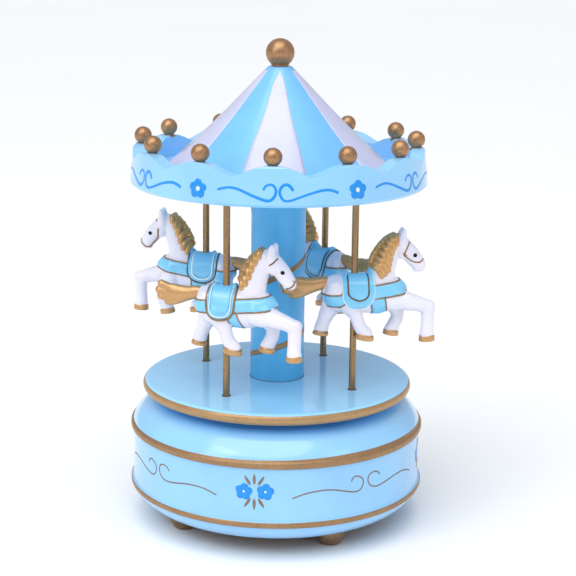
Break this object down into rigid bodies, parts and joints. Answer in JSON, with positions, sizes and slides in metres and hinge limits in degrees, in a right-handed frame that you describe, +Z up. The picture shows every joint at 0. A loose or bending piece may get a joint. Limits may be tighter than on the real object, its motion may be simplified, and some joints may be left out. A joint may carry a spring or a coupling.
{
  "type": "carousel music box",
  "caption": "Carousel music box: wound movement in a round base turns a platform with column, poled horses and a scalloped ball-topped canopy.",
  "frame": {"origin": "centre of the base on the surface the feet rest on", "axes": "+Z up along the carousel's axis; -Y is the front, the side seen in the source view"},
  "size_m": [0.1138, 0.1104, 0.1797],
  "materials": {
    "lacquer_blue": "glossy painted resin, light sky blue",
    "lacquer_deep_blue": "glossy painted resin, stronger blue",
    "lacquer_roof": "glossy painted resin, alternating white and sky-blue gores",
    "antique_gold": "antique gold paint on resin, rubbed",
    "bronze_rod": "bronze-gold finished brass rod",
    "horse_paint": "gloss white moulding with painted gold and light-blue tack",
    "board": "dark fibreboard",
    "zinc": "zinc die casting, satin",
    "steel": "steel",
    "spring_steel": "blued spring steel",
    "brass": "brass",
    "nylon": "moulded nylon",
    "zinc_screw": "plated screw"
  },
  "bodies": {
    "base": {"base_body": "lacquer_blue", "bedplate": "zinc", "bottom_plate": "board", "bottom_screws": "zinc_screw", "bracket_inner": "zinc", "bracket_outer": "zinc", "comb": "steel", "comb_screws": "zinc_screw", "foot_1": "antique_gold", "foot_2": "antique_gold", "foot_3": "antique_gold", "foot_4": "antique_gold", "governor_bracket": "brass", "mainspring": "spring_steel", "movement_screws": "zinc_screw", "spring_housing": "zinc", "top_bush": "nylon"},
    "carousel": {"canopy_ring": "lacquer_blue", "centre_column": "lacquer_deep_blue", "drive_flange": "zinc", "finial_ball": "antique_gold", "flange_screws": "zinc_screw", "great_wheel": "nylon", "horse_1": "horse_paint", "horse_2": "horse_paint", "horse_3": "horse_paint", "horse_4": "horse_paint", "pole_1": "bronze_rod", "pole_2": "bronze_rod", "pole_3": "bronze_rod", "pole_4": "bronze_rod", "rim_ball_01": "antique_gold", "rim_ball_02": "antique_gold", "rim_ball_03": "antique_gold", "rim_ball_04": "antique_gold", "rim_ball_05": "antique_gold", "rim_ball_06": "antique_gold", "rim_ball_07": "antique_gold", "rim_ball_08": "antique_gold", "rim_ball_09": "antique_gold", "rim_ball_10": "antique_gold", "rim_ball_11": "antique_gold", "rim_ball_12": "antique_gold", "roof_cone": "lacquer_roof", "turntable": "lacquer_blue", "winding_arbor": "steel"},
    "cylinder": {"cylinder_arbor": "steel", "cylinder_drum": "brass", "cylinder_end_wheel": "nylon", "cylinder_pinion": "nylon"},
    "second_wheel": {"second_arbor": "steel", "worm_wheel": "nylon"},
    "governor": {"governor_fan": "brass", "governor_worm": "steel"}
  },
  "joints": [
    {"name": "carousel_spin", "type": "hinge", "parent": "base", "child": "carousel", "pos_m": [0, 0, 0.046], "axis": [0, 0, 1], "continuous": true},
    {"name": "cylinder_spin", "type": "hinge", "parent": "base", "child": "cylinder", "pos_m": [0.025, 0, 0.02887], "axis": [1, 0, 0], "continuous": true},
    {"name": "second_spin", "type": "hinge", "parent": "base", "child": "second_wheel", "pos_m": [0.036, 0.008, 0.02887], "axis": [1, 0, 0], "continuous": true},
    {"name": "governor_spin", "type": "hinge", "parent": "base", "child": "governor", "pos_m": [0.038, 0.0141, 0.02887], "axis": [0, 0, 1], "continuous": true}
  ],
  "couplings": [
    {"joint": "cylinder_spin", "follows": "carousel_spin", "ratio": -3},
    {"joint": "second_spin", "follows": "carousel_spin", "ratio": 9},
    {"joint": "governor_spin", "follows": "carousel_spin", "ratio": -216}
  ]
}
